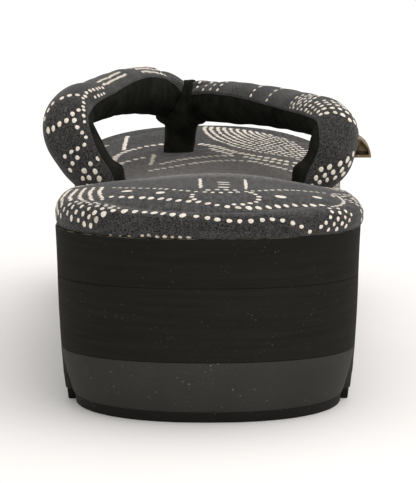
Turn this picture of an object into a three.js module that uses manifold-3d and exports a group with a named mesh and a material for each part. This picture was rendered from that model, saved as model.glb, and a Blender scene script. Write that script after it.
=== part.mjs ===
// Setta sandal for the right foot: a platform sole of three layers, a padded footbed,
// and one padded strap that a toe post holds down between the first two toes.
// Millimetres, +X to the outer side of the foot, +Y to the toe, +Z up.
// The origin is on the floor under the middle of the sandal.
import * as THREE from "three";
import { mergeVertices } from "three/addons/utils/BufferGeometryUtils.js";
import Module from "manifold-3d";

const wasm = await Module();
wasm.setup();

// Driving dimensions
const LENGTH = 270; // footbed from heel to toe
const HEEL_CAP = 43; // length of the rounded heel end
const HEEL_ROUNDNESS = 2.2; // 2 is an ellipse, more is squarer
const TOE_CAP = { outer: 60, inner: 50 }; // length of the rounded toe end on either side
const TOE_ROUNDNESS = 2.2;
const AXIS_MARGIN = 40; // the crown line of a layer starts this far from either end
const SEAT_GAP = 0.3; // clearance between pieces that meet
const TOE_SPRING = 6.5; // rise of the underside at the toe tip
const SPRING_START = 214; // where the underside leaves the floor
const DECK_INSET = 0.9; // top edge of the foam, inside the footbed's bulge
const SEAM_INSET = 1.5; // where the two foam layers meet
const WEDGE_INSET = 2.5; // where foam and rubber meet
const INNER_FLUSH = 0.9; // the sole's layers lie this much further out on the inner side
const FOOTBED_RIM = 7.7; // height of the footbed's rolled edge over the deck
const FOOTBED_CROWN = 5.1; // further rise from the rolled edge to the crown line
// The footbed's inner shoulder stands higher at the heel: from and full are distances from the middle
const SHOULDER = { rise: 1.8, from: 16, full: 42, fadeStart: 55, fadeEnd: 115 };
const WALL_FULL = 12; // where the outsole is thinner than this, the steps of its wall shrink with it
// Cross notch in the outsole, and a small bent plate on the strap's outer leg
const NOTCH = { y: 40, mouth: 5, throat: 1.2, height: 8.5, reach: 60, blend: 3 };
const TAB = { y: 104.5, depth: 8, x: 45.2, z: 66.2, reach: 7.3, rise: 7.3, plate: 1.1, tail: 3, segments: 10 };
const PAST = { floor: 1, post: 2, strap: 4 }; // how far a cut runs past the face or end it starts from
const SIDE_STEPS = 28; // points along each side of an outline
const CROWN_RINGS = 5; // from the rolled edge to the crown line
const STRAP_STEPS = 3; // sections between two rows of the strap's table
const STRAP_SIDES = 14;
const POST_SIDES = 20;
const POST_SQUARENESS = 3; // exponent of the post's level sections
const WELD = 1e-4; // points closer than this are one point

// Half widths of the footbed on the outer and inner side of the foot, y from the heel
const PLAN = [
  { y: 0, outer: 46.6, inner: 47.2 },
  { y: 50, outer: 47.3, inner: 47.7 },
  { y: 115, outer: 43.4, inner: 43.4 },
  { y: 190, outer: 45.6, inner: 46.0 },
  { y: 270, outer: 46.0, inner: 46.0 },
];

// Heights of the upper face of each sole layer
const LAYERS = [
  { y: 0, outsole: 19.5, wedge: 42.3, deck: 57.6 },
  { y: 45, outsole: 17.4, wedge: 39.7, deck: 54.8 },
  { y: 80, outsole: 15.7, wedge: 37.4, deck: 52.3 },
  { y: 98, outsole: 14.7, wedge: 35.0, deck: 49.6 },
  { y: 116, outsole: 13.8, wedge: 31.9, deck: 45.8 },
  { y: 145, outsole: 12.8, wedge: 29.2, deck: 42.7 },
  { y: 172, outsole: 12.2, wedge: 28.5, deck: 41.8 },
  { y: 200, outsole: 12.2, wedge: 28.8, deck: 42.0 },
  { y: 235, outsole: 13.2, wedge: 29.8, deck: 43.0 },
  { y: 270, outsole: 17.5, wedge: 33.3, deck: 46.0 },
];

// Side of the outsole: how far each step of its wall lies inside the footbed, on the heel lug and ahead of it
const OUTSOLE_WALL = [
  { z: 0, heel: 6.9, front: 4.6 },
  { z: 3.0, heel: 6.6, front: 4.3 },
  { z: 3.4, heel: 6.0, front: 3.8 },
  { z: 9.0, heel: 4.5, front: 3.2 },
];

// Rolled edge of the footbed, from the tucked hem to the top: inset, and height as a share of the rim
const ROLLED_EDGE = [
  { inset: 1.4, rise: 0 },
  { inset: 0.4, rise: 0.12 },
  { inset: 0, rise: 0.38 },
  { inset: 0.2, rise: 0.62 },
  { inset: 1.2, rise: 0.84 },
  { inset: 3.0, rise: 0.95 },
  { inset: 6.0, rise: 1 },
];

// Centre line of the strap from the outer hole over the toe post to the inner hole.
// wide and thick are half sizes; the face columns say which way the printed side looks.
const STRAP = [
  { x: 30.3, y: 95.9, z: 53.3, wide: 6.0, thick: 6.0, faceX: 0.5, faceY: -0.86, faceZ: 0.1 },
  { x: 33.0, y: 97.0, z: 59.4, wide: 6.3, thick: 6.3, faceX: 0.5, faceY: -0.86, faceZ: 0.15 },
  { x: 38.9, y: 100.6, z: 67.2, wide: 7.9, thick: 6.9, faceX: 0.48, faceY: -0.8, faceZ: 0.35 },
  { x: 40.6, y: 107.0, z: 73.6, wide: 8.1, thick: 7.0, faceX: 0.4, faceY: -0.6, faceZ: 0.7 },
  { x: 38.4, y: 118.0, z: 76.6, wide: 8.1, thick: 6.9, faceX: 0.2, faceY: -0.15, faceZ: 0.97 },
  { x: 31.5, y: 138.0, z: 76.0, wide: 7.8, thick: 6.8, faceX: 0.2, faceY: 0.12, faceZ: 0.97 },
  { x: 23.0, y: 157.0, z: 75.1, wide: 7.7, thick: 6.9, faceX: 0.3, faceY: 0.18, faceZ: 0.94 },
  { x: 12.9, y: 174.0, z: 74.0, wide: 7.7, thick: 7.1, faceX: 0.4, faceY: 0.3, faceZ: 0.87 },
  { x: 3.6, y: 189.2, z: 72.5, wide: 7.2, thick: 7.2, faceX: 0.35, faceY: 0.4, faceZ: 0.84 },
  { x: -2.4, y: 195.4, z: 71.9, wide: 6.0, thick: 7.0, faceX: 0.15, faceY: 0.4, faceZ: 0.9 },
  { x: -8.6, y: 197.0, z: 71.6, wide: 4.7, thick: 6.3, faceX: 0, faceY: 0.4, faceZ: 0.92 },
  { x: -14.8, y: 194.8, z: 73.7, wide: 6.2, thick: 7.6, faceX: -0.2, faceY: 0.4, faceZ: 0.89 },
  { x: -20.2, y: 186.8, z: 76.7, wide: 7.7, thick: 8.4, faceX: -0.35, faceY: 0.4, faceZ: 0.84 },
  { x: -26.2, y: 170.0, z: 78.9, wide: 7.9, thick: 8.0, faceX: -0.45, faceY: 0.3, faceZ: 0.84 },
  { x: -32.0, y: 153.0, z: 80.3, wide: 7.9, thick: 7.3, faceX: -0.4, faceY: 0.15, faceZ: 0.9 },
  { x: -37.3, y: 136.0, z: 80.6, wide: 8.0, thick: 7.1, faceX: -0.3, faceY: 0.05, faceZ: 0.95 },
  { x: -43.9, y: 117.0, z: 80.1, wide: 8.5, thick: 7.2, faceX: -0.2, faceY: -0.2, faceZ: 0.96 },
  { x: -45.4, y: 107.0, z: 75.6, wide: 8.7, thick: 7.2, faceX: -0.35, faceY: -0.65, faceZ: 0.67 },
  { x: -41.0, y: 100.8, z: 67.2, wide: 8.4, thick: 7.0, faceX: -0.4, faceY: -0.85, faceZ: 0.3 },
  { x: -34.0, y: 97.0, z: 59.4, wide: 6.9, thick: 6.4, faceX: -0.45, faceY: -0.89, faceZ: 0.15 },
  { x: -30.6, y: 95.9, z: 53.3, wide: 6.3, thick: 6.0, faceX: -0.45, faceY: -0.89, faceZ: 0.1 },
];

// Level sections of the toe post and its loop; wide is along X, deep along Y
const TOE_POST = [
  { z: 42.8, x: -10.0, y: 200, wide: 4.9, deep: 3.5 },
  { z: 53.0, x: -10.0, y: 200, wide: 5.1, deep: 3.7 },
  { z: 58.0, x: -9.6, y: 200, wide: 5.3, deep: 4.1 },
  { z: 62.0, x: -9.2, y: 199.2, wide: 5.6, deep: 5.0 },
  { z: 64.0, x: -9.1, y: 198.7, wide: 6.6, deep: 5.6 },
  { z: 66.0, x: -8.9, y: 198.3, wide: 8.4, deep: 6.2 },
  { z: 69.0, x: -8.7, y: 197.9, wide: 4.6, deep: 7.4 },
  { z: 72.0, x: -8.6, y: 197.8, wide: 3.8, deep: 7.8 },
  { z: 76.0, x: -8.5, y: 198.4, wide: 3.3, deep: 7.2 },
  { z: 79.0, x: -8.4, y: 199.4, wide: 2.8, deep: 5.2 },
  { z: 80.2, x: -8.4, y: 199.8, wide: 2.0, deep: 2.6 },
];

const FINISH = {
  rubber: { color: 0x3a3935, roughness: 0.8, metalness: 0 },
  foam: { color: 0x272622, roughness: 0.9, metalness: 0 },
  cotton: { color: 0x525255, roughness: 0.9, metalness: 0 },
  velvet: { color: 0x100f0e, roughness: 1, metalness: 0 },
  brass: { color: 0x6b5836, roughness: 0.45, metalness: 0.9 },
};

// Smooth curve through one column of a table whose rows are sorted by y
function follow(rows, column, y) {
  const last = rows.length - 1;
  const before = rows.filter((row) => row.y <= y).length - 1;
  const k = Math.min(Math.max(before, 0), last - 1);
  const slope = (i) => {
    const a = rows[Math.max(i - 1, 0)];
    const b = rows[Math.min(i + 1, last)];
    return (b[column] - a[column]) / (b.y - a.y);
  };
  const span = rows[k + 1].y - rows[k].y;
  const t = Math.min(Math.max((y - rows[k].y) / span, 0), 1);
  const rise = rows[k + 1][column] - rows[k][column];
  const bendIn = slope(k) * span - rise;
  const bendOut = rise - slope(k + 1) * span;
  return rows[k][column] + rise * t + t * (1 - t) * ((1 - t) * bendIn + t * bendOut);
}

// Closed mesh over rings of equal length, the first and last of which are capped or shrunk to a line.
// The cells of a layer are split along their shorter diagonals, so that layers which meet are split alike.
function skin(rings, capped) {
  const count = rings[0].length;
  const points = rings.flat();
  const position = points.flatMap((p) => [p.x, p.y, p.z]);
  const index = [];
  for (let r = 0; r + 1 < rings.length; r += 1) {
    for (let i = 0; i < count; i += 1) {
      const a = r * count + i;
      const b = r * count + ((i + 1) % count);
      const [c, d] = [b + count, a + count];
      const straight = capped || points[a].distanceTo(points[c]) < points[b].distanceTo(points[d]);
      index.push(...(straight ? [a, b, c, a, c, d] : [a, b, d, b, c, d]));
    }
  }
  if (capped) {
    const top = (rings.length - 1) * count;
    for (let i = 1; i + 1 < count; i += 1) {
      index.push(0, i + 1, i, top, top + i, top + i + 1);
    }
  }
  const open = new THREE.BufferGeometry();
  open.setAttribute("position", new THREE.Float32BufferAttribute(position, 3));
  open.setIndex(index);
  const merged = mergeVertices(open, WELD);
  const kept = [];
  const all = merged.getIndex().array;
  for (let t = 0; t < all.length; t += 3) {
    const [a, b, c] = all.slice(t, t + 3);
    if (a !== b && b !== c && c !== a) kept.push(a, b, c);
  }
  merged.setIndex(kept);
  return merged;
}

// Solids for cutting, and the way back to a geometry
function solid(geometry) {
  const bare = new THREE.BufferGeometry();
  bare.setAttribute("position", geometry.getAttribute("position"));
  bare.setIndex(geometry.getIndex());
  const merged = mergeVertices(bare, WELD);
  return new wasm.Manifold(
    new wasm.Mesh({
      numProp: 3,
      vertProperties: new Float32Array(merged.getAttribute("position").array),
      triVerts: new Uint32Array(merged.getIndex().array),
    }),
  );
}

function geometryOf(manifold) {
  const mesh = manifold.getMesh();
  const geometry = new THREE.BufferGeometry();
  geometry.setAttribute("position", new THREE.BufferAttribute(mesh.vertProperties, 3));
  geometry.setIndex(new THREE.BufferAttribute(mesh.triVerts, 1));
  return geometry;
}

// Footbed outline: half width with both ends rounded off
function halfWidth(side, y) {
  const cap = (t, n) => (1 - (1 - Math.min(t, 1)) ** n) ** (1 / n);
  const ends = cap(y / HEEL_CAP, HEEL_ROUNDNESS) * cap((LENGTH - y) / TOE_CAP[side], TOE_ROUNDNESS);
  return follow(PLAN, side, y) * ends;
}

// Outline from the heel up the outer side to the toe and back down the inner side
const outline = [];
for (let i = 0; i < 2 * SIDE_STEPS; i += 1) {
  const y = (LENGTH * (1 - Math.cos((Math.PI * i) / SIDE_STEPS))) / 2;
  const x = i <= SIDE_STEPS ? halfWidth("outer", y) : -halfWidth("inner", y);
  outline.push(new THREE.Vector2(x, y));
}

// Ring of a layer: the outline moved in by inset(y), less flush on the inner side, then drawn towards the
// crown line as spread goes to 0
function layerRing(inset, height, spread = 1, flush = 0) {
  return outline.map((p, i) => {
    const before = outline.at(i - 1);
    const after = outline[(i + 1) % outline.length];
    const inward = new THREE.Vector2(before.y - after.y, after.x - before.x).normalize();
    const innerShare = Math.max(0, -p.x) / PLAN[0].inner;
    const edge = p.clone().addScaledVector(inward, inset(p.y) - flush * innerShare);
    const crown = new THREE.Vector2(0, AXIS_MARGIN + ((LENGTH - 2 * AXIS_MARGIN) * p.y) / LENGTH);
    const at = crown.lerp(edge, spread);
    return new THREE.Vector3(at.x, at.y, height(at.y));
  });
}

const layerTop = (layer) => (y) => follow(LAYERS, layer, y);
const raised = (height, by) => (y) => height(y) + by;
const even = (inset) => () => inset;

function underside(y) {
  const past = Math.max(0, y - SPRING_START) / (LENGTH - SPRING_START);
  return TOE_SPRING * past * past;
}

function makeOutsole() {
  const top = layerTop("outsole");
  const { lerp, smoothstep } = THREE.MathUtils;
  const ahead = (y) => smoothstep(y, NOTCH.y - NOTCH.blend, NOTCH.y + NOTCH.blend);
  const wall = OUTSOLE_WALL.map((row) => {
    const inset = (y) => lerp(row.heel, row.front, ahead(y));
    const height = (y) => underside(y) + row.z * Math.min(1, (top(y) - underside(y)) / WALL_FULL);
    return { inset, height };
  });
  const rings = [
    layerRing(wall[0].inset, wall[0].height, 0, INNER_FLUSH),
    ...wall.map((step) => layerRing(step.inset, step.height, 1, INNER_FLUSH)),
    layerRing(even(WEDGE_INSET), top, 1, INNER_FLUSH),
    layerRing(even(WEDGE_INSET), top, 0, INNER_FLUSH),
  ];
  const flare = (NOTCH.mouth - NOTCH.throat) / NOTCH.height;
  const mouth = NOTCH.mouth + flare * PAST.floor;
  const profile = new THREE.Shape([
    new THREE.Vector2(-mouth / 2, -PAST.floor),
    new THREE.Vector2(mouth / 2, -PAST.floor),
    new THREE.Vector2(NOTCH.throat / 2, NOTCH.height),
    new THREE.Vector2(-NOTCH.throat / 2, NOTCH.height),
  ]);
  const notch = new THREE.ExtrudeGeometry(profile, { depth: 2 * NOTCH.reach, bevelEnabled: false });
  notch.deleteAttribute("normal");
  notch.deleteAttribute("uv");
  const across = new THREE.Matrix4().makeBasis(
    new THREE.Vector3(0, 1, 0),
    new THREE.Vector3(0, 0, 1),
    new THREE.Vector3(1, 0, 0),
  );
  notch.applyMatrix4(across).translate(-NOTCH.reach, NOTCH.y, 0);
  return geometryOf(solid(skin(rings, false)).subtract(solid(mergeVertices(notch, WELD))));
}

function makeFoamLayer(below, belowInset, layer, topInset) {
  const bottom = raised(layerTop(below), SEAT_GAP);
  const top = layerTop(layer);
  return skin(
    [
      layerRing(even(belowInset), bottom, 0, INNER_FLUSH),
      layerRing(even(belowInset), bottom, 1, INNER_FLUSH),
      layerRing(even(topInset), top, 1, INNER_FLUSH),
      layerRing(even(topInset), top, 0, INNER_FLUSH),
    ],
    false,
  );
}

// Raise a ring's points at the inner shoulder by a share of its rise
function lifted(ring, share) {
  const { smoothstep } = THREE.MathUtils;
  for (const p of ring) {
    const side = smoothstep(-p.x, SHOULDER.from, SHOULDER.full);
    const along = 1 - smoothstep(p.y, SHOULDER.fadeStart, SHOULDER.fadeEnd);
    p.z += share * SHOULDER.rise * side * along;
  }
  return ring;
}

function makeFootbed(holes) {
  const floor = raised(layerTop("deck"), SEAT_GAP);
  const rim = FOOTBED_RIM - SEAT_GAP;
  const edge = ROLLED_EDGE.map((row) =>
    lifted(layerRing(even(row.inset), raised(floor, rim * row.rise)), row.rise),
  );
  const crownRings = Array.from({ length: CROWN_RINGS }, (_, k) => {
    const spread = 1 - (k + 1) / CROWN_RINGS;
    const rise = rim + FOOTBED_CROWN * (1 - spread * spread);
    return lifted(layerRing(even(ROLLED_EDGE.at(-1).inset), raised(floor, rise), spread), 1);
  });
  const hem = layerRing(even(ROLLED_EDGE[0].inset), floor, 0);
  let pad = solid(skin([hem, ...edge, ...crownRings], false));
  for (const hole of holes) pad = pad.subtract(hole);
  return geometryOf(pad);
}

// Strap: oval sections along the centre line, each turned so that its printed side looks the table's way.
// grow swells the sections and overrun carries the ends further, for cutting clearances.
function makeStrap(grow = 0, overrun = 0) {
  const curve = (...columns) =>
    new THREE.CatmullRomCurve3(STRAP.map((row) => new THREE.Vector3(...columns.map((c) => row[c] ?? 0))));
  const centre = curve("x", "y", "z");
  const size = curve("wide", "thick", "none");
  const face = curve("faceX", "faceY", "faceZ");
  const section = (u, shift = 0) => {
    const along = centre.getTangent(u);
    const up = face.getPoint(u).projectOnPlane(along).normalize();
    const across = new THREE.Vector3().crossVectors(along, up);
    const half = size.getPoint(u);
    return Array.from({ length: STRAP_SIDES }, (_, k) => {
      const angle = (2 * Math.PI * k) / STRAP_SIDES;
      return centre
        .getPoint(u)
        .addScaledVector(along, shift)
        .addScaledVector(across, (half.x + grow) * Math.sin(angle))
        .addScaledVector(up, (half.y + grow) * Math.cos(angle));
    });
  };
  const steps = (STRAP.length - 1) * STRAP_STEPS;
  const rings = Array.from({ length: steps + 1 }, (_, s) => section(s / steps));
  if (overrun > 0) {
    rings.unshift(section(0, -overrun));
    rings.push(section(1, overrun));
  }
  return skin(rings, true);
}

function makePostBody(grow = 0, overrun = 0) {
  const rings = TOE_POST.map((row, level) => {
    const z = level === 0 ? row.z - overrun : row.z;
    const ring = [];
    for (let k = 0; k < POST_SIDES; k += 1) {
      const angle = (2 * Math.PI * k) / POST_SIDES;
      const round = (value) => Math.sign(value) * Math.abs(value) ** (2 / POST_SQUARENESS);
      const x = row.x + (row.wide + grow) * round(Math.cos(angle));
      const y = row.y + (row.deep + grow) * round(Math.sin(angle));
      ring.push(new THREE.Vector3(x, y, z));
    }
    return ring;
  });
  return skin(rings, true);
}

// Bent plate: a quarter round over a flat foot, open at the back, cut to the strap that carries it
function makeTab(strapRoom) {
  const block = (shrink, front) => {
    const profile = new THREE.Shape();
    profile.moveTo(TAB.x - TAB.tail, shrink);
    profile.lineTo(TAB.x + TAB.reach - shrink, shrink);
    profile.absellipse(TAB.x, shrink, TAB.reach - shrink, TAB.rise - 2 * shrink, 0, Math.PI / 2, false);
    profile.lineTo(TAB.x - TAB.tail, TAB.rise - shrink);
    const bend = { depth: TAB.depth, bevelEnabled: false, curveSegments: TAB.segments };
    const geometry = new THREE.ExtrudeGeometry(profile, bend);
    geometry.deleteAttribute("normal");
    geometry.deleteAttribute("uv");
    geometry.rotateX(Math.PI / 2).translate(0, TAB.y + TAB.depth - front, TAB.z);
    return solid(mergeVertices(geometry, WELD));
  };
  return geometryOf(block(0, 0).subtract(block(TAB.plate, TAB.plate)).subtract(strapRoom));
}

const sandal = new THREE.Group();
sandal.name = "setta_sandal";
sandal.position.y = -LENGTH / 2; // tables count from the heel, the part from its middle

function place(name, geometry, finish) {
  const mesh = new THREE.Mesh(geometry, new THREE.MeshStandardMaterial(FINISH[finish]));
  mesh.name = name;
  sandal.add(mesh);
}

const strapRoom = solid(makeStrap(SEAT_GAP, PAST.strap));
const postRoom = solid(makePostBody(SEAT_GAP, PAST.post));

place("outsole", makeOutsole(), "rubber");
place("midsole_wedge", makeFoamLayer("outsole", WEDGE_INSET, "wedge", SEAM_INSET), "foam");
place("midsole_deck", makeFoamLayer("wedge", SEAM_INSET, "deck", DECK_INSET), "foam");
place("footbed", makeFootbed([strapRoom, postRoom]), "cotton");
place("strap", makeStrap(), "cotton");
place("toe_post", geometryOf(solid(makePostBody()).subtract(strapRoom)), "velvet");
place("brass_tab", makeTab(strapRoom), "brass");

export default sandal;
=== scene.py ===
import bmesh
import bpy
import numpy as np
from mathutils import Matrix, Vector


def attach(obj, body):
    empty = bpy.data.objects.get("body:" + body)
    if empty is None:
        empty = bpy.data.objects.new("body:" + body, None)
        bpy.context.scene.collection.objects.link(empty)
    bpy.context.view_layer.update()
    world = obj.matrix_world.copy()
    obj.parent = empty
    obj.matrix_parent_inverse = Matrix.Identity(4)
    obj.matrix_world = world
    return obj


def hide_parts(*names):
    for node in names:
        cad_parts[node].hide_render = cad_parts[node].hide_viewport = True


# Setta sandal for the right foot. Tables are in millimetres with y from the heel; meshes are in metres,
# with y from the middle of the sandal.
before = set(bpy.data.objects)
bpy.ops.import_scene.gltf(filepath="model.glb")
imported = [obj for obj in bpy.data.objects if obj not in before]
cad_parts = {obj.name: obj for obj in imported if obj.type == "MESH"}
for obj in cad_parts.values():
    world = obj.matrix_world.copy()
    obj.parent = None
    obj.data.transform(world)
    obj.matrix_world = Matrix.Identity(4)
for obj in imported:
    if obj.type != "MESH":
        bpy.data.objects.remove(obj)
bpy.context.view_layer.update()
scene = bpy.context.scene
rng = np.random.default_rng(7)
print("frame loaded")

# Sole: its length, the caps that round off its ends, the toe's rise, and the hairline between two layers
sole = dict(
    length=270.0, heelCap=43.0, toeCap=dict(outer=60.0, inner=50.0), roundness=2.2, innerFlush=0.9, seam=0.06,
    toeSpring=6.5, springStart=214.0, stations=150,
)
edgeMiddle = 0.3  # where a rounded edge's middle row lies, as a share of its radius
plan = dict(
    y=[0, 50, 115, 190, 270],
    outer=[46.6, 47.3, 43.4, 45.6, 46.0],
    inner=[47.2, 47.7, 43.4, 46.0, 46.0],
)
layers = dict(
    y=[0, 45, 80, 98, 116, 145, 172, 200, 235, 270],
    outsole=[19.5, 17.4, 15.7, 14.7, 13.8, 12.8, 12.2, 12.2, 13.2, 17.5],
    wedge=[42.3, 39.7, 37.4, 35.0, 31.9, 29.2, 28.5, 28.8, 29.8, 33.3],
    deck=[57.6, 54.8, 52.3, 49.6, 45.8, 42.7, 41.8, 42.0, 43.0, 46.0],
)


# Curve through a table: cubic pieces whose slope at a row is the slope between its two neighbours
def follow(knots, values, at):
    knots, values, at = (np.asarray(a, float) for a in (knots, values, at))
    low = np.maximum(np.arange(len(knots)) - 1, 0)
    high = np.minimum(np.arange(len(knots)) + 1, len(knots) - 1)
    slope = (values[high] - values[low]) / (knots[high] - knots[low])
    k = np.clip(np.searchsorted(knots, at, "right") - 1, 0, len(knots) - 2)
    span = knots[k + 1] - knots[k]
    t = np.clip((at - knots[k]) / span, 0, 1)
    rise = values[k + 1] - values[k]
    bendIn = slope[k] * span - rise
    bendOut = rise - slope[k + 1] * span
    return values[k] + rise * t + t * (1 - t) * ((1 - t) * bendIn + t * bendOut)


# Smooth step from 0 at a to 1 at b
def ease(a, b, x):
    t = np.clip((np.asarray(x, float) - a) / (b - a), 0, 1)
    return t * t * (3 - 2 * t)


# Half width of the footbed on one side: the table's width with both ends rounded off as superellipses
def halfWidth(side, y):
    n = sole["roundness"]
    heel = np.clip(y / sole["heelCap"], 0, 1)
    toe = np.clip((sole["length"] - y) / sole["toeCap"][side], 0, 1)
    ends = (1 - (1 - heel) ** n) ** (1 / n) * (1 - (1 - toe) ** n) ** (1 / n)
    return follow(plan["y"], plan[side], y) * ends


def layerHeight(layer):
    return lambda y: follow(layers["y"], layers[layer], y)


# Underside: flat on the floor, then a parabola up to the toe tip
def underside(y):
    past = np.clip((y - sole["springStart"]) / (sole["length"] - sole["springStart"]), 0, 1)
    return sole["toeSpring"] * past * past


# Stations from heel to toe, close together at both ends, with extra ones where an edge runs across
def stationsAlong(count, extra=()):
    y = sole["length"] * (1 - np.cos(np.linspace(0, np.pi, count + 1))) / 2
    return np.unique(np.concatenate([y, np.asarray(extra, float)]))


# Rim points [station, side, xy] and their inward normals, from the neighbours on the closed outline
def rim(y):
    outer = np.stack([halfWidth("outer", y), y], -1)
    inner = np.stack([-halfWidth("inner", y), y], -1)
    loop = np.concatenate([outer, inner[-2:0:-1]])
    along = np.roll(loop, -1, 0) - np.roll(loop, 1, 0)
    inward = np.stack([-along[:, 1], along[:, 0]], -1)
    inward /= np.linalg.norm(inward, axis=1, keepdims=True)
    n = len(y)
    back = np.concatenate([inward[:1], inward[:n - 2:-1]])
    return np.stack([outer, inner], 1), np.stack([inward[:n], back], 1)


# Layer of the sole: at each station a closed section, up the outer wall, across the top, down the inner wall
# and back underneath. A wall row is the rim moved in by inset(y), less flush on the inner side, at height(y).
def layerGrid(y, rows, across, topHeight, bottomHeight, flush=0.0):
    points, inward = rim(y)
    flush = flush * np.clip(-points[..., 0], 0, None) / plan["inner"][0]
    walls = []
    for inset, height in rows:
        flat = points + inward * (np.broadcast_to(inset(y), y.shape)[:, None] - flush)[..., None]
        walls.append(np.concatenate([flat, height(flat[..., 1])[..., None]], -1))
    walls = np.stack(walls, 1)
    outer, inner = walls[:, :, 0], walls[:, :, 1]
    t = np.linspace(0, 1, across + 2)[1:-1, None]
    top = outer[:, -1:] + (inner[:, -1:] - outer[:, -1:]) * t
    top[..., 2] = topHeight(top[..., 0], top[..., 1])
    bottom = inner[:, :1] + (outer[:, :1] - inner[:, :1]) * t
    bottom[..., 2] = bottomHeight(bottom[..., 0], bottom[..., 1])
    return np.concatenate([outer, top, inner[:, ::-1], bottom], 1)


# Mesh from corner lists: places in millimetres become metres about the sandal's middle
def meshObject(name, points, faces):
    place = (np.asarray(points, float).reshape(-1, 3) - [0, sole["length"] / 2, 0]) * 0.001
    faces = np.asarray(faces, np.int32)
    mesh = bpy.data.meshes.new(name)
    mesh.vertices.add(len(place))
    mesh.vertices.foreach_set("co", place.astype(np.float32).ravel())
    mesh.loops.add(faces.size)
    mesh.loops.foreach_set("vertex_index", faces.ravel())
    mesh.polygons.add(len(faces))
    mesh.polygons.foreach_set("loop_start", np.arange(len(faces), dtype=np.int32) * faces.shape[1])
    mesh.polygons.foreach_set("use_smooth", np.ones(len(faces), bool))
    mesh.update(calc_edges=True)
    thing = bpy.data.objects.new(name, mesh)
    scene.collection.objects.link(thing)
    return thing


# Grid of points as quads, closed across its second direction, and along its first too if asked
def gridFaces(rows, columns, closeAlong=False):
    index = np.arange(rows * columns).reshape(rows, columns)
    here = index if closeAlong else index[:-1]
    ahead = np.roll(index, -1, 0) if closeAlong else index[1:]
    return np.stack([here, ahead, np.roll(ahead, -1, 1), np.roll(here, -1, 1)], -1).reshape(-1, 4)


# Points that lie on one another become one, which closes the ends of a grid
def weld(thing, distance=2e-6):
    work = bmesh.new()
    work.from_mesh(thing.data)
    bmesh.ops.remove_doubles(work, verts=work.verts, dist=distance)
    bmesh.ops.dissolve_degenerate(work, edges=work.edges, dist=distance)
    work.to_mesh(thing.data)
    work.free()


# Places on the cloth, in millimetres, as a UV map whose unit is 100 mm
def clothMap(thing, uv):
    layer = thing.data.uv_layers.new(name="cloth")
    corner = np.empty(len(thing.data.loops), np.int32)
    thing.data.loops.foreach_get("vertex_index", corner)
    layer.data.foreach_set("uv", (np.asarray(uv, np.float32).reshape(-1, 2)[corner] * 0.01).ravel())


# Socket fed by a link, or set to a plain value
def feed(tree, target, value):
    if isinstance(value, bpy.types.NodeSocket):
        tree.links.new(value, target)
    else:
        target.default_value = value


# Node group with named inputs (numbers are floats, the rest vectors) and float outputs
def nodeGroup(name, inputs, outputs):
    tree = bpy.data.node_groups.new(name, "ShaderNodeTree")
    for label, value in inputs.items():
        kind = "NodeSocketFloat" if isinstance(value, float) else "NodeSocketVector"
        socket = tree.interface.new_socket(label, in_out="INPUT", socket_type=kind)
        if value is not None:
            socket.default_value = value
    for label in outputs:
        tree.interface.new_socket(label, in_out="OUTPUT", socket_type="NodeSocketFloat")
    return tree, tree.nodes.new("NodeGroupInput").outputs, tree.nodes.new("NodeGroupOutput").inputs


def addNode(tree, kind, links=None, **settings):
    node = tree.nodes.new(kind)
    for key, value in settings.items():
        setattr(node, key, value)
    for socket, value in (links or {}).items():
        feed(tree, node.inputs[socket], value)
    return node


def math(tree, operation, a, b=0.0, c=0.0):
    return addNode(tree, "ShaderNodeMath", {0: a, 1: b, 2: c}, operation=operation).outputs[0]


def vectorMath(tree, operation, a, b):
    return addNode(tree, "ShaderNodeVectorMath", {0: a, 1: b}, operation=operation).outputs[0]


def axis(tree, vector, k):
    return addNode(tree, "ShaderNodeSeparateXYZ", {0: vector}).outputs[k]


def objectPlace(tree):
    return addNode(tree, "ShaderNodeTexCoord").outputs["Object"]


def attribute(tree, name):
    return addNode(tree, "ShaderNodeAttribute", attribute_name=name).outputs["Fac"]


def mixColour(tree, factor, a, b):
    return addNode(tree, "ShaderNodeMix", {0: factor, 6: a, 7: b}, data_type="RGBA").outputs[2]


def ramp(tree, value, low, high, toLow=0.0, toHigh=1.0):
    links = {"Value": value, "From Min": low, "From Max": high, "To Min": toLow, "To Max": toHigh}
    return addNode(tree, "ShaderNodeMapRange", links, clamp=True).outputs[0]


def noise(tree, vector, scale, detail=3.0, rough=0.5):
    links = {"Vector": vector, "Scale": scale, "Detail": detail, "Roughness": rough}
    return addNode(tree, "ShaderNodeTexNoise", links).outputs["Fac"]


def dim(colour, share):
    return tuple(c * share for c in colour[:3]) + (1,)


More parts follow.
